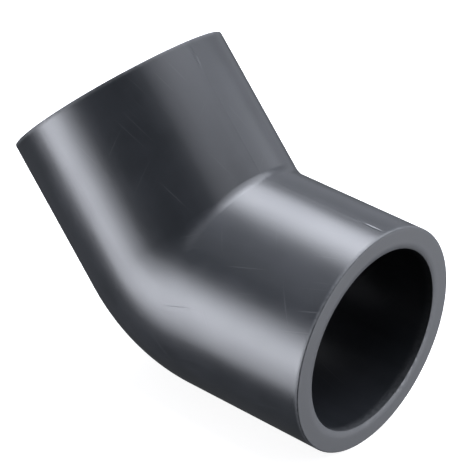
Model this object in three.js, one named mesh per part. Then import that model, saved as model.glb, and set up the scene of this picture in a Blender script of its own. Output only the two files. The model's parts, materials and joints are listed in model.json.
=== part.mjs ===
// A plain 45 degree solvent-weld elbow for 25 mm PVC-U pipe, moulded in one piece.
//
// Millimetres, +Z up. Leg A lies along +X. Leg B rises from the bend, leaning back over -X, and the
// two axes cross in the XZ plane. Leg A's underside is on z = 0, and the origin is under the middle
// of the fitting's box. Each leg is a blind socket for the pipe, with a shoulder that stops it, and
// the two sockets are joined by a narrower waterway.

import * as THREE from "three";
import { LoftGeometry } from "three/addons/geometries/LoftGeometry.js";

// Driving dimensions.
const PIPE_DIAMETER = 25; // outside diameter of the pipe that is glued in
const PIPE_WALL = 1.9; // the waterway continues the pipe's own bore
const TURN = THREE.MathUtils.degToRad(45); // how far the fitting turns the flow
const SOCKET_DEPTH = 19;
const STOP_DISTANCE = 7.6; // from the crossing of the axes to the shoulder that stops the pipe
const SOCKET_WALL = 3; // at the mouth
const MOUTH_CLEARANCE = 0.2; // on the diameter, where the pipe goes in
const ROOT_PINCH = 0.1; // on the diameter, at the shoulder, where the taper grips the pipe
const MOUTH_EDGE_ROUND = 0.15; // outside edge of the mouth
const LIP_WIDTH = 1; // the mouth's flat face falls away over this width, beside the bore
const LIP_RADIUS = 4; // of that fall, which leads the pipe in
const BEND_RADIUS = 11.6; // of the middle of the outside skin, round the inside of the bend
const CREASE_ROUND = 3.1; // how softly the skin closes where the bend is too tight for it
const WATERWAY_CREASE_ROUND = 2;

// Mesh density.
const SIDES = 72; // round each leg
const BEND_STEPS = 9;
const WATERWAY_STEPS = 6;
const ROUND_STEPS = 4;

// Sizes that follow.
const mouthRadius = (PIPE_DIAMETER + MOUTH_CLEARANCE) / 2;
const rootRadius = (PIPE_DIAMETER - ROOT_PINCH) / 2;
const waterwayRadius = PIPE_DIAMETER / 2 - PIPE_WALL;
const bodyRadius = mouthRadius + SOCKET_WALL;
const legLength = STOP_DISTANCE + SOCKET_DEPTH; // from the crossing of the axes to the mouth

// A leg has a direction away from the crossing, and a direction towards the outside of the bend.
const legA = {
  along: new THREE.Vector3(1, 0, 0),
  outside: new THREE.Vector3(0, 0, -1),
};
const legB = {
  along: new THREE.Vector3(-Math.cos(TURN), 0, Math.sin(TURN)),
  outside: new THREE.Vector3(-Math.sin(TURN), 0, -Math.cos(TURN)),
};
const side = new THREE.Vector3(0, 1, 0);
const inside = legA.along.clone().add(legB.along).normalize(); // towards the inside of the bend

// A closed ring of points: place(azimuth, point) sets each one. Azimuth 0 is the outside of the bend.
function ring(place) {
  return Array.from({ length: SIDES }, (_, i) => {
    const point = new THREE.Vector3();
    place((2 * Math.PI * i) / SIDES, point);
    return point;
  });
}

// A round ring on a leg's axis.
function legRing(leg, radius, distance) {
  return ring((azimuth, point) =>
    point
      .addScaledVector(leg.along, distance)
      .addScaledVector(leg.outside, radius * Math.cos(azimuth))
      .addScaledVector(side, radius * Math.sin(azimuth)),
  );
}

// The rings of a skin round the bend, from leg A to leg B. Each straight line of the skin along leg A
// meets its twin on leg B at the mitre plane, and an arc rounds that corner. The arcs share the
// bend's own axis wherever it lies inside the skin. Past it, where the skin would fold over itself,
// the arc's radius dies away smoothly and leaves a crease.
function bendRings(radius, bendRadius, creaseRound, steps) {
  return Array.from({ length: steps + 1 }, (_, step) => {
    const facing = legA.outside.clone().applyAxisAngle(side, (TURN * step) / steps);
    return ring((azimuth, point) => {
      const outward = radius * Math.cos(azimuth);
      const room = bendRadius + outward;
      const arc = (room + Math.hypot(room, 2 * creaseRound)) / 2;
      point
        .addScaledVector(inside, (arc - outward) / Math.cos(TURN / 2))
        .addScaledVector(facing, arc)
        .addScaledVector(side, radius * Math.sin(azimuth));
    });
  });
}

// An arc on a leg's profile, as [radius, distance] pairs, from one angle to another.
function roundProfile(centreRadius, centreDistance, round, fromAngle, toAngle) {
  return Array.from({ length: ROUND_STEPS + 1 }, (_, i) => {
    const angle = THREE.MathUtils.lerp(fromAngle, toAngle, i / ROUND_STEPS);
    return [centreRadius + round * Math.cos(angle), centreDistance + round * Math.sin(angle)];
  });
}

// One leg's rings, from the outside skin round the mouth and down the socket to its shoulder.
function mouthRings(leg) {
  const quarter = Math.PI / 2;
  const lipEnd = quarter + Math.asin(LIP_WIDTH / LIP_RADIUS);
  const edgeRadius = bodyRadius - MOUTH_EDGE_ROUND;
  const profile = [
    ...roundProfile(edgeRadius, legLength - MOUTH_EDGE_ROUND, MOUTH_EDGE_ROUND, 0, quarter),
    ...roundProfile(mouthRadius + LIP_WIDTH, legLength - LIP_RADIUS, LIP_RADIUS, quarter, lipEnd),
    [rootRadius, STOP_DISTANCE],
    [waterwayRadius, STOP_DISTANCE],
  ];
  return profile.map(([radius, distance]) => legRing(leg, radius, distance));
}

// The whole skin as one loop of rings: round the outside of the bend to leg A's mouth, into its
// socket, back through the waterway to leg B's socket, and out of its mouth to the start.
function elbowGeometry() {
  const outsideBend = bendRings(bodyRadius, BEND_RADIUS, CREASE_ROUND, BEND_STEPS);
  const waterway = bendRings(waterwayRadius, 0, WATERWAY_CREASE_ROUND, WATERWAY_STEPS);
  const sections = [
    ...outsideBend.reverse(),
    ...mouthRings(legA),
    ...waterway,
    ...mouthRings(legB).reverse(),
  ];
  return new LoftGeometry([...sections, sections[0]]);
}

// The fitting's box along X runs from leg B's mouth, whose lowest corner reaches back furthest, to
// leg A's mouth.
function crossingPoint() {
  const reachBack =
    (legLength - MOUTH_EDGE_ROUND) * Math.cos(TURN) +
    (bodyRadius - MOUTH_EDGE_ROUND) * Math.sin(TURN) +
    MOUTH_EDGE_ROUND;
  return new THREE.Vector3((reachBack - legLength) / 2, 0, bodyRadius);
}

const pvc = new THREE.MeshStandardMaterial({ color: 0x3e4146, roughness: 0.35, metalness: 0 });

const elbowBody = new THREE.Mesh(elbowGeometry(), pvc);
elbowBody.name = "elbow_body";
elbowBody.position.copy(crossingPoint());

const elbow = new THREE.Group();
elbow.add(elbowBody);

export default elbow;
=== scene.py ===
"""The looks of a plain 45 degree solvent-weld elbow, moulded in dark grey PVC-U.

Metres, +Z up, in the CAD model's own frame: leg A lies along +X, leg B rises from the bend over -X,
and the bend lies in the XZ plane. The elbow is one finely meshed skin that follows the CAD solid. It
adds what the mould leaves on such a part: a parting line in the plane of the bend, a nick on that
line near each mouth, and the gate's mark on the heel.
"""

import json
import math
from collections import namedtuple

import bpy
from mathutils import Matrix, Vector


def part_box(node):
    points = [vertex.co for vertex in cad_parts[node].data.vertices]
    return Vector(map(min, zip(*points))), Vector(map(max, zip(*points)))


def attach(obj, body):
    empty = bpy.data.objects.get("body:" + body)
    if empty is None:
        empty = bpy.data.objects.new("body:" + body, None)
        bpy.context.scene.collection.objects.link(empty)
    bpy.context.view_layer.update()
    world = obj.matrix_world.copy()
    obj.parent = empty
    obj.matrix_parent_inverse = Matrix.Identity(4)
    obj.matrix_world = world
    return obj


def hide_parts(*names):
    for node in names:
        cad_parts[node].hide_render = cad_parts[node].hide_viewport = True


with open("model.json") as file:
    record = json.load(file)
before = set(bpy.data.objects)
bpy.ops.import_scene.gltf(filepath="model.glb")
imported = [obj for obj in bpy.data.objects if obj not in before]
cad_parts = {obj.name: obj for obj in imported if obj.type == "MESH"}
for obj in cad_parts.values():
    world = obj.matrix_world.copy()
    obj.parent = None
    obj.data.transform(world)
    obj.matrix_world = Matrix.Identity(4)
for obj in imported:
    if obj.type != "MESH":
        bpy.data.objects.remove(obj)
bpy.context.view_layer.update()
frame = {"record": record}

MM = 0.001

# ---------------------------------------------------------------- sizes, read from the frame
node_low, node_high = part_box("elbow_body")
mounts = {mount["name"]: mount for mount in frame["record"]["mounts"]}
mouth_a = Vector(mounts["socket_a_mouth"]["pos_m"])
mouth_b = Vector(mounts["socket_b_mouth"]["pos_m"])
axis_b = Vector(mounts["socket_b_mouth"]["axis"]).normalized()

BODY_RADIUS = (node_high.y - node_low.y) / 2
TURN = math.atan2(axis_b.z, -axis_b.x)
LEG_LENGTH = (mouth_b.z - mouth_a.z) / math.sin(TURN)
CROSSING = Vector((mouth_a.x - LEG_LENGTH, 0, mouth_a.z))

# Sizes that the frame doesn't state, as the CAD solid has them.
SOCKET_WALL = 3.0 * MM  # at the mouth
SOCKET_TAPER = 0.15 * MM  # on the radius, from the mouth to the stop
SOCKET_DEPTH = 19.0 * MM
MOUTH_RADIUS = BODY_RADIUS - SOCKET_WALL
ROOT_RADIUS = MOUTH_RADIUS - SOCKET_TAPER
WATERWAY_RADIUS = 10.6 * MM
STOP_DISTANCE = LEG_LENGTH - SOCKET_DEPTH
MOUTH_EDGE_ROUND = 0.15 * MM
LIP_WIDTH = 1.0 * MM
LIP_RADIUS = 4.0 * MM
BEND_RADIUS = 11.6 * MM
CREASE_ROUND = 3.1 * MM
WATERWAY_CREASE_ROUND = 2.0 * MM

# Small shapes that the CAD solid leaves out. The nicks are in the material's bump.
LIP_CORNER_ROUND = 0.08 * MM
STOP_ROUND = 0.3 * MM
PARTING_HALF_WIDTH = 0.25 * MM
PARTING_HEIGHT = 0.007 * MM
GATE_RECESS_RADIUS = 2.3 * MM
GATE_RECESS_DEPTH = 0.3 * MM
GATE_RECESS_WALL = 0.6 * MM  # how far in from its rim the recess reaches its depth
GATE_STUB_RADIUS = 1.0 * MM
GATE_STUB_WALL = 0.35 * MM
GATE_STUB_HEIGHT = 0.22 * MM
NICK_FROM_MOUTH = 2.3 * MM
NICK_HALF_WIDTH = 0.3 * MM
NICK_SLIMNESS = 0.15  # its width over its length

# Mesh density.
SIDES = 288
PARTING_STEPS = 4
BEND_STEPS = 72
WATERWAY_BEND_STEPS = 18
WATERWAY_LEG_STEPS = 3
ROUND_STEPS = 8
LEG_STEPS = 14
HOLD = 0.15 * MM  # a ring this close to a round keeps the shading flat beside it


# ---------------------------------------------------------------- the skin
SIDE = Vector((0, 1, 0))
LEG_A = {"along": Vector((1, 0, 0)), "outside": Vector((0, 0, -1)), "sense": -1}
LEG_B = {
    "along": Vector((-math.cos(TURN), 0, math.sin(TURN))),
    "outside": Vector((-math.sin(TURN), 0, -math.cos(TURN))),
    "sense": 1,
}
INSIDE = (LEG_A["along"] + LEG_B["along"]).normalized()  # towards the inside of the bend

# A skin that goes round the bend. Azimuth 0 is the outside of the bend.
Skin = namedtuple("Skin", "radius bend_radius crease_round has_parting_line")
OUTER = Skin(BODY_RADIUS, BEND_RADIUS, CREASE_ROUND, True)
WATERWAY = Skin(WATERWAY_RADIUS, 0, WATERWAY_CREASE_ROUND, False)


def azimuth_steps():
    """Even steps round a leg, and closer ones across the parting line on both sides."""
    even = [2 * math.pi * i / SIDES for i in range(SIDES)]
    reach = PARTING_HALF_WIDTH / BODY_RADIUS
    closer = [
        middle + way * reach * step / PARTING_STEPS
        for middle in (0, math.pi)
        for way in (-1, 1)
        for step in range(1, PARTING_STEPS + 1)
    ]
    return sorted(azimuth % (2 * math.pi) for azimuth in even + closer)


AZIMUTHS = azimuth_steps()


def parting_ridge(azimuth):
    """How far the parting line stands proud of the skin."""
    from_heel = abs(math.remainder(azimuth, 2 * math.pi))
    off_line = min(from_heel, math.pi - from_heel) * BODY_RADIUS / PARTING_HALF_WIDTH
    return PARTING_HEIGHT * (1 + math.cos(math.pi * min(off_line, 1))) / 2


def skin_radius(skin, azimuth):
    return skin.radius + (parting_ridge(azimuth) if skin.has_parting_line else 0)


def bend_arc(skin, azimuth):
    """The radius of the arc that turns one straight line of the skin from leg A to leg B."""
    room = skin.bend_radius + skin_radius(skin, azimuth) * math.cos(azimuth)
    return (room + math.hypot(room, 2 * skin.crease_round)) / 2


def bend_start(skin, azimuth):
    """How far from the crossing that line is straight."""
    inward = bend_arc(skin, azimuth) - skin_radius(skin, azimuth) * math.cos(azimuth)
    return inward * math.tan(TURN / 2)


def ring(place):
    """A closed ring. place(azimuth) gives a point, and where it is on the fitting straightened out."""
    return [place(azimuth) for azimuth in AZIMUTHS]


def leg_point(leg, azimuth, radius, distance):
    """A point at that radius from a leg's axis, at that distance from the crossing."""
    across, beside = radius * math.cos(azimuth), radius * math.sin(azimuth)
    point = CROSSING + leg["along"] * distance + leg["outside"] * across + SIDE * beside
    return point, (across, beside, leg["sense"] * distance)


def bend_point(skin, azimuth, share):
    """A point on the bend, at this share of the way from leg A to leg B."""
    radius, arc = skin_radius(skin, azimuth), bend_arc(skin, azimuth)
    across, beside = radius * math.cos(azimuth), radius * math.sin(azimuth)
    facing = Matrix.Rotation(TURN * share, 3, SIDE) @ LEG_A["outside"]
    centre = CROSSING + INSIDE * ((arc - across) / math.cos(TURN / 2))
    along = (2 * share - 1) * bend_start(skin, azimuth)
    return centre + facing * arc + SIDE * beside, (across, beside, along)


def bend_rings(skin, steps):
    """The skin's rings round the bend, from leg A to leg B, as the CAD solid has them."""
    return [
        ring(lambda azimuth, share=step / steps: bend_point(skin, azimuth, share))
        for step in range(steps + 1)
    ]


def skin_to_leg_rings(leg, skin, end, steps):
    """Rings from the end of the bend, whose edge isn't flat, to a flat ring at end."""

    def place(azimuth, share):
        distance = bend_start(skin, azimuth) * (1 - share) + end * share
        return leg_point(leg, azimuth, skin_radius(skin, azimuth), distance)

    return [
        ring(lambda azimuth, share=step / steps: place(azimuth, share))
        for step in range(1, steps + 1)
    ]


def round_profile(radius, distance, size, start, end):
    """Points of an arc on a leg's profile, as (radius, distance) pairs."""
    angles = [start + (end - start) * i / ROUND_STEPS for i in range(ROUND_STEPS + 1)]
    return [(radius + size * math.cos(a), distance + size * math.sin(a)) for a in angles]


def lip_profile():
    """The mouth's face beside the bore: it falls away, and a small corner ends it."""
    quarter = math.pi / 2
    flat_end = MOUTH_RADIUS + LIP_WIDTH
    centre = LEG_LENGTH - LIP_RADIUS
    corner = MOUTH_RADIUS + LIP_CORNER_ROUND
    # The corner's arc touches the fall from inside, and the bore.
    tilt = math.asin((flat_end - corner) / (LIP_RADIUS - LIP_CORNER_ROUND))
    depth = centre + (LIP_RADIUS - LIP_CORNER_ROUND) * math.cos(tilt)
    fall = round_profile(flat_end, centre, LIP_RADIUS, quarter, quarter + tilt)
    return fall + round_profile(corner, depth, LIP_CORNER_ROUND, quarter + tilt, 2 * quarter)[1:]


def mouth_rings(leg):
    """One leg's rings, from its straight skin round the mouth and down the socket to its stop."""
    quarter = math.pi / 2
    edge = BODY_RADIUS - MOUTH_EDGE_ROUND
    stop_inner = WATERWAY_RADIUS + STOP_ROUND
    profile = [
        *round_profile(edge, LEG_LENGTH - MOUTH_EDGE_ROUND, MOUTH_EDGE_ROUND, 0, quarter),
        (edge - HOLD, LEG_LENGTH),
        *lip_profile(),
    ]
    lip_end = profile[-1][1]
    profile.append((MOUTH_RADIUS, lip_end - HOLD))
    for step in range(1, LEG_STEPS):
        share = step / LEG_STEPS
        profile.append(
            (
                MOUTH_RADIUS + (ROOT_RADIUS - MOUTH_RADIUS) * share,
                lip_end + (STOP_DISTANCE - lip_end) * share,
            )
        )
    profile += [
        (ROOT_RADIUS, STOP_DISTANCE + HOLD),
        (ROOT_RADIUS, STOP_DISTANCE),
        (ROOT_RADIUS - HOLD, STOP_DISTANCE),
        (stop_inner + HOLD, STOP_DISTANCE),
        *round_profile(stop_inner, STOP_DISTANCE - STOP_ROUND, STOP_ROUND, quarter, 2 * quarter),
    ]
    return [
        ring(lambda azimuth, at=at: leg_point(leg, azimuth, *at))
        for at in profile
    ]


def elbow_rings():
    """The whole skin as one loop of rings, in the same order as the CAD solid's."""
    skin_end = LEG_LENGTH - MOUTH_EDGE_ROUND - HOLD
    waterway_end = STOP_DISTANCE - STOP_ROUND - HOLD
    waterway_a = skin_to_leg_rings(LEG_A, WATERWAY, waterway_end, WATERWAY_LEG_STEPS)
    waterway_b = skin_to_leg_rings(LEG_B, WATERWAY, waterway_end, WATERWAY_LEG_STEPS)
    return [
        *reversed(bend_rings(OUTER, BEND_STEPS)),
        *skin_to_leg_rings(LEG_A, OUTER, skin_end, LEG_STEPS),
        *mouth_rings(LEG_A),
        *reversed(waterway_a),
        *bend_rings(WATERWAY, WATERWAY_BEND_STEPS),
        *waterway_b,
        *reversed(mouth_rings(LEG_B)),
        *reversed(skin_to_leg_rings(LEG_B, OUTER, skin_end, LEG_STEPS)),
    ]


# The gate is on the heel, halfway round the bend.
GATE_CENTRE = bend_point(OUTER, 0, 0.5)[0]
GATE_FACING = (Matrix.Rotation(TURN / 2, 3, SIDE) @ LEG_A["outside"]).normalized()


def smooth_step(value):
    value = min(max(value, 0), 1)
    return value * value * (3 - 2 * value)


def press_gate_mark(point):
    """Sinks the round recess into the skin, and leaves the cut stub of the sprue in its middle."""
    off_centre = (point - GATE_CENTRE).length
    if off_centre > GATE_RECESS_RADIUS:
        return point
    wall = smooth_step((GATE_RECESS_RADIUS - off_centre) / GATE_RECESS_WALL)
    stub = smooth_step((GATE_STUB_RADIUS - off_centre) / GATE_STUB_WALL)
    return point + GATE_FACING * (GATE_STUB_HEIGHT * stub - GATE_RECESS_DEPTH * wall)


def make_elbow():
    rings = elbow_rings()
    sides = len(AZIMUTHS)
    points = [press_gate_mark(point) for one in rings for point, straight in one]
    faces = []
    for row in range(len(rings)):
        here, there = row * sides, (row + 1) % len(rings) * sides
        for i in range(sides):
            j = (i + 1) % sides
            faces.append((here + i, here + j, there + j, there + i))
    mesh = bpy.data.meshes.new("elbow_moulding")
    mesh.from_pydata(points, [], faces)
    straightened = mesh.attributes.new("straightened", "FLOAT_VECTOR", "POINT")
    straightened.data.foreach_set(
        "vector", [value for one in rings for point, straight in one for value in straight]
    )
    mesh.validate()
    mesh.shade_smooth()
    elbow = bpy.data.objects.new("elbow_moulding", mesh)
    bpy.context.scene.collection.objects.link(elbow)
    return elbow


# ---------------------------------------------------------------- materials
DARK_PVC = (0.016, 0.018, 0.021, 1)
PALE_PVC = (0.020, 0.022, 0.026, 1)
RUBBED_PVC = (0.075, 0.078, 0.083, 1)
WHITE = (1, 1, 1, 1)
FLOOR_GREY = (0.5, 0.5, 0.5, 1)
FLOOR_GLOW = 0.9
PVC_IOR = 1.53
SATIN_ROUGHNESS = (0.285, 0.325)  # where the tone is dark, and where it is pale
ROUGHER_WHERE_WORN = 0.25
PALER_WHERE_WORN = 0.6

# The marks in the plastic's tone and gloss.
CLOUD_SIZE = 7.0 * MM
FLOW_MARK_WIDTH = 2.2 * MM
FLOW_MARK_SLIMNESS = 0.07  # its width over its length
SPECKLE_SIZE = 0.5 * MM
PEEL_SIZE = 1.6 * MM
CLOUD_SHARE = 0.6  # of the tone. The flow marks give the rest.
TONE_RANGE = (0.35, 0.65)

# Each set of hairlines has its turn from the pipe's direction, in degrees, and a threshold. The
# higher that is, the fewer they are.
HAIRLINE_SETS = ((18, 0.75), (-55, 0.78))
HAIRLINE_WIDTH = 0.22 * MM
HAIRLINE_SLIMNESS = 0.02  # its width over its length
HAIRLINE_SOFTNESS = 0.12
HAIRLINE_WEAR = 0.5  # as a share of a rubbed edge's

# Wear is full up to the first distance from an edge, and it ends at the second.
OUTER_EDGE_WEAR = (0.15 * MM, 0.6 * MM)
INNER_EDGE_WEAR = (0.3 * MM, 1.5 * MM)
INNER_EDGE_FALL = 0.12 * MM  # how far the lip has fallen at its inner edge
STUB_WEAR = (0.5 * MM, GATE_STUB_RADIUS)

# The wear is uneven: over this range of the speckle it goes from half to full.
UNEVEN_SPECKLE = (0.35, 0.6)
UNEVEN_WEAR = (0.5, 1)

# Heights of the bump, in mm.
PEEL_HEIGHT = 0.0025
SPECKLE_HEIGHT = 0.0005
HAIRLINE_DEPTH = 0.001
NICK_DEPTH = 0.07


def add(tree, kind, inputs=None, **settings):
    """Adds a node. Each input is a value, or the socket that feeds it."""
    made = tree.nodes.new(kind)
    for name, value in settings.items():
        setattr(made, name, value)
    for name, value in (inputs or {}).items():
        if isinstance(value, bpy.types.NodeSocket):
            tree.links.new(value, made.inputs[name])
        else:
            made.inputs[name].default_value = value
    return made


def maths(tree, operation, *values):
    return add(tree, "ShaderNodeMath", dict(enumerate(values)), operation=operation).outputs[0]


def weighted_sum(tree, *terms):
    """The sum of each value times its weight."""
    total = 0.0
    for value, weight in terms:
        total = maths(tree, "MULTIPLY_ADD", value, weight, total)
    return total


def graded(tree, value, low, high, to_low=0.0, to_high=1.0):
    """Takes low..high smoothly to to_low..to_high, and holds the ends."""
    inputs = {"Value": value, "From Min": low, "From Max": high}
    inputs |= {"To Min": to_low, "To Max": to_high}
    return add(tree, "ShaderNodeMapRange", inputs, interpolation_type="SMOOTHSTEP").outputs["Result"]


def blended(tree, share, first, second):
    """Mixes two colours. The node's sockets 6 and 7, and its output 2, are the colour ones."""
    return add(tree, "ShaderNodeMix", {0: share, 6: first, 7: second}, data_type="RGBA").outputs[2]


def noise(tree, place, size, detail):
    """Cloudy noise between 0 and 1, with lumps of about this size."""
    inputs = {"Vector": place, "Scale": 1 / size, "Detail": detail, "Roughness": 0.55}
    return add(tree, "ShaderNodeTexNoise", inputs).outputs["Fac"]


def scaled(tree, place, amounts):
    """Noise made on the scaled place is drawn out where the amount is small."""
    inputs = {0: place, 1: amounts}
    return add(tree, "ShaderNodeVectorMath", inputs, operation="MULTIPLY").outputs["Vector"]


def distance_between(tree, place, point):
    inputs = {0: place, 1: point}
    return add(tree, "ShaderNodeVectorMath", inputs, operation="DISTANCE").outputs["Value"]


def folded_over(tree, straight):
    """The same place for both legs: the straightened fitting folded in half at its middle."""
    parts = add(tree, "ShaderNodeSeparateXYZ", {"Vector": straight}).outputs
    inputs = {"X": parts["X"], "Y": parts["Y"], "Z": maths(tree, "ABSOLUTE", parts["Z"])}
    return add(tree, "ShaderNodeCombineXYZ", inputs).outputs["Vector"]


def off_axis(tree, straight):
    """How far a place on the straightened fitting is from its axis."""
    return distance_between(tree, scaled(tree, straight, (1, 1, 0)), (0, 0, 0))


def off_mouth_edge(tree, folded, radius, distance):
    """How far the surface is from the circle of that radius, at that distance along either leg."""
    along = add(tree, "ShaderNodeSeparateXYZ", {"Vector": folded}).outputs["Z"]
    inputs = {"X": off_axis(tree, folded), "Y": along}
    profile = add(tree, "ShaderNodeCombineXYZ", inputs).outputs["Vector"]
    return distance_between(tree, profile, (radius, distance, 0))


def parting_nicks(tree, folded):
    """A short shallow dent on the parting line, inside the bend, near each mouth."""
    centre = (-BODY_RADIUS, 0, (LEG_LENGTH - NICK_FROM_MOUTH) * NICK_SLIMNESS)
    off_centre = distance_between(tree, scaled(tree, folded, (1, 1, NICK_SLIMNESS)), centre)
    return graded(tree, off_centre, 0, NICK_HALF_WIDTH, 1, 0)


def rolled_out(tree, straight):
    """The straightened skin rolled out flat: round the leg, along it, and in from the skin."""
    parts = add(tree, "ShaderNodeSeparateXYZ", {"Vector": straight}).outputs
    # The roll starts on the far side of the bend, where beside is positive.
    azimuth = maths(tree, "ARCTAN2", parts["X"], maths(tree, "MULTIPLY", parts["Y"], -1))
    inputs = {
        "X": maths(tree, "MULTIPLY", azimuth, BODY_RADIUS),
        "Y": parts["Z"],
        "Z": off_axis(tree, straight),
    }
    return add(tree, "ShaderNodeCombineXYZ", inputs).outputs["Vector"]


def hairlines(tree, flat, turn, threshold):
    """Fine straight scratches, all at this turn from the pipe's own direction."""
    inputs = {"Vector": flat, "Axis": (0, 0, 1), "Angle": turn}
    turned = add(tree, "ShaderNodeVectorRotate", inputs).outputs["Vector"]
    drawn_out = scaled(tree, turned, (1, HAIRLINE_SLIMNESS, 1))
    streaks = noise(tree, drawn_out, HAIRLINE_WIDTH, detail=0.0)
    return graded(tree, streaks, threshold, threshold + HAIRLINE_SOFTNESS)


def all_hairlines(tree, straight):
    flat = rolled_out(tree, straight)
    sets = [
        hairlines(tree, flat, math.radians(turn), threshold) for turn, threshold in HAIRLINE_SETS
    ]
    return maths(tree, "MAXIMUM", *sets)


def rubbed_parts(tree, place, folded, speckle):
    """The mouths' edges are rubbed unevenly, and the stub of the sprue is torn."""
    outer_edge = off_mouth_edge(tree, folded, BODY_RADIUS, LEG_LENGTH)
    inner_edge = off_mouth_edge(tree, folded, MOUTH_RADIUS, LEG_LENGTH - INNER_EDGE_FALL)
    edges = maths(
        tree,
        "MAXIMUM",
        graded(tree, outer_edge, *OUTER_EDGE_WEAR, 1, 0),
        graded(tree, inner_edge, *INNER_EDGE_WEAR, 1, 0),
    )
    torn = graded(tree, distance_between(tree, place, GATE_CENTRE), *STUB_WEAR, 1, 0)
    unevenness = graded(tree, speckle, *UNEVEN_SPECKLE, *UNEVEN_WEAR)
    return maths(tree, "MULTIPLY", maths(tree, "MAXIMUM", edges, torn), unevenness)


def pvc_material():
    """Satin moulded PVC-U: cloudy gloss, flow marks along the pipe, hairlines and rubbed edges."""
    material = bpy.data.materials.new("dark_grey_pvc")
    material.use_nodes = True
    tree = material.node_tree
    shader = tree.nodes["Principled BSDF"]
    shader.inputs["IOR"].default_value = PVC_IOR
    place = add(tree, "ShaderNodeTexCoord").outputs["Object"]
    straight = add(tree, "ShaderNodeAttribute", attribute_name="straightened").outputs["Vector"]
    folded = folded_over(tree, straight)

    clouds = noise(tree, place, CLOUD_SIZE, detail=3.0)
    drawn_out = scaled(tree, straight, (1, 1, FLOW_MARK_SLIMNESS))
    flow_marks = noise(tree, drawn_out, FLOW_MARK_WIDTH, detail=3.0)
    tone = weighted_sum(tree, (clouds, CLOUD_SHARE), (flow_marks, 1 - CLOUD_SHARE))
    speckle = noise(tree, place, SPECKLE_SIZE, detail=1.0)
    peel = noise(tree, place, PEEL_SIZE, detail=1.0)
    scratches = all_hairlines(tree, straight)
    scratch_wear = maths(tree, "MULTIPLY", scratches, HAIRLINE_WEAR)
    worn = maths(tree, "MAXIMUM", rubbed_parts(tree, place, folded, speckle), scratch_wear)

    body_colour = blended(tree, graded(tree, tone, *TONE_RANGE), DARK_PVC, PALE_PVC)
    pale_share = maths(tree, "MULTIPLY", worn, PALER_WHERE_WORN)
    colour = blended(tree, pale_share, body_colour, RUBBED_PVC)
    satin = graded(tree, tone, *TONE_RANGE, *SATIN_ROUGHNESS)
    roughness = weighted_sum(tree, (satin, 1), (worn, ROUGHER_WHERE_WORN))
    heights_in_mm = weighted_sum(
        tree,
        (peel, PEEL_HEIGHT),
        (speckle, SPECKLE_HEIGHT),
        (scratches, -HAIRLINE_DEPTH),
        (parting_nicks(tree, folded), -NICK_DEPTH),
    )
    bump = add(tree, "ShaderNodeBump", {"Height": heights_in_mm, "Distance": MM})
    tree.links.new(colour, shader.inputs["Base Color"])
    tree.links.new(roughness, shader.inputs["Roughness"])
    tree.links.new(bump.outputs["Normal"], shader.inputs["Normal"])
    return material


def floor_material():
    """A pale light table: its glow keeps the part's shadow faint."""
    material = bpy.data.materials.new("pale_floor")
    material.use_nodes = True
    shader = material.node_tree.nodes["Principled BSDF"]
    shader.inputs["Base Color"].default_value = FLOOR_GREY
    shader.inputs["Roughness"].default_value = 0.9
    shader.inputs["Emission Color"].default_value = WHITE
    shader.inputs["Emission Strength"].default_value = FLOOR_GLOW
    return material


# ---------------------------------------------------------------- the set
FLOOR_SIZE = 6.0


def make_floor():
    """The table lets the lights under it through, and the part's gloss doesn't pick it up."""
    bpy.ops.mesh.primitive_plane_add(size=FLOOR_SIZE, location=(0, 0, node_low.z))
    floor = bpy.context.object
    floor.name = "floor"
    floor.data.materials.append(floor_material())
    floor.visible_glossy = False
    floor.visible_shadow = False
    floor.visible_diffuse = False


VIEW_AZIMUTH = math.radians(37.24)
VIEW_ELEVATION = math.radians(28.92)
VIEW_ROLL = math.radians(5.24)
VIEW_DISTANCE = 340.8 * MM
VIEW_LENS = 194.8  # in mm, as the sensor's width is
SENSOR_WIDTH = 36
AIM_RIGHT = 2.88 * MM  # across the picture, from the crossing of the legs' axes
AIM_UP = 3.56 * MM


def make_camera():
    data = bpy.data.cameras.new("camera")
    data.lens = VIEW_LENS
    data.sensor_width = SENSOR_WIDTH
    data.clip_start = 0.01
    data.clip_end = 20
    camera = bpy.data.objects.new("camera", data)
    bpy.context.scene.collection.objects.link(camera)
    back = Vector(
        (
            math.sin(VIEW_AZIMUTH) * math.cos(VIEW_ELEVATION),
            -math.cos(VIEW_AZIMUTH) * math.cos(VIEW_ELEVATION),
            math.sin(VIEW_ELEVATION),
        )
    )
    level = Vector((0, 0, 1)).cross(back).normalized()
    upright = back.cross(level)
    right = level * math.cos(VIEW_ROLL) + upright * math.sin(VIEW_ROLL)
    up = back.cross(right)
    aim = CROSSING + right * AIM_RIGHT + up * AIM_UP
    turned = Matrix((right, up, back)).transposed()
    camera.matrix_world = Matrix.Translation(aim + back * VIEW_DISTANCE) @ turned.to_4x4()
    bpy.context.scene.camera = camera


LIGHT_DISTANCE = 0.8
COOL_WHITE = (0.95, 0.98, 1.07)
ROOM_BRIGHTNESS = 0.07

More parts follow.
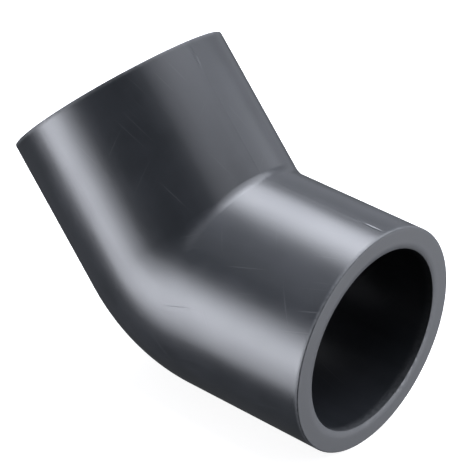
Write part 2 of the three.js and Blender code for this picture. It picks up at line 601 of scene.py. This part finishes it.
# Each soft box is a disc. It has its direction from +X towards +Y, its height above the horizon and
# how wide it looks from the part, all in degrees, and its brightness.
SOFT_BOXES = {
    "left_box": (235, -12, 33, 7.2),
    "left_fill": (243, -5, 39, 4.7),
    "low_left_strip": (236, -33, 15, 7.0),
    "near_top_fill": (243, 49, 34, 1.0),
    "overhead_box": (90, 71, 70, 4.2),
    "top_back_box": (138, 72, 34, 4.5),
    "back_box": (146, 48, 29, 5.6),
    "back_fill": (92, 35, 96, 0.5),
    "left_top_box": (190, 58, 34, 0.75),
    "right_box": (50, -1, 73, 1.45),
    "front_top_box": (2, 48, 30, 1.5),
    "mouth_lip_box": (29, -15, 15, 20),
}


def make_soft_box(name, azimuth, elevation, width, brightness):
    """A round soft box that faces the part from that direction."""
    azimuth, elevation = math.radians(azimuth), math.radians(elevation)
    direction = Vector(
        (
            math.cos(elevation) * math.cos(azimuth),
            math.cos(elevation) * math.sin(azimuth),
            math.sin(elevation),
        )
    )
    data = bpy.data.lights.new(name, "AREA")
    data.shape = "DISK"
    data.size = 2 * LIGHT_DISTANCE * math.tan(math.radians(width / 2))
    area = math.pi / 4 * data.size**2
    data.energy = brightness * math.pi * area  # a disc of any width then looks equally bright
    data.color = COOL_WHITE
    light = bpy.data.objects.new(name, data)
    bpy.context.scene.collection.objects.link(light)
    light.location = CROSSING + direction * LIGHT_DISTANCE
    light.rotation_mode = "QUATERNION"
    light.rotation_quaternion = direction.to_track_quat("Z", "Y")


def make_world():
    """A dim room, with a plain white backdrop behind the part."""
    world = bpy.data.worlds.new("studio")
    world.use_nodes = True
    tree = world.node_tree
    room = tree.nodes["Background"]
    room.inputs["Color"].default_value = WHITE
    room.inputs["Strength"].default_value = ROOM_BRIGHTNESS
    backdrop = add(tree, "ShaderNodeBackground", {"Color": WHITE, "Strength": 1.0})
    is_camera_ray = add(tree, "ShaderNodeLightPath").outputs["Is Camera Ray"]
    inputs = {0: is_camera_ray, 1: room.outputs[0], 2: backdrop.outputs[0]}
    mix = add(tree, "ShaderNodeMixShader", inputs)
    tree.links.new(mix.outputs[0], tree.nodes["World Output"].inputs["Surface"])
    bpy.context.scene.world = world


elbow = make_elbow()
elbow.data.materials.append(pvc_material())
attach(elbow, "root")
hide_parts("elbow_body")

make_floor()
make_camera()
make_world()
for name, soft_box in SOFT_BOXES.items():
    make_soft_box(name, *soft_box)

bpy.context.scene.view_settings.view_transform = "Standard"
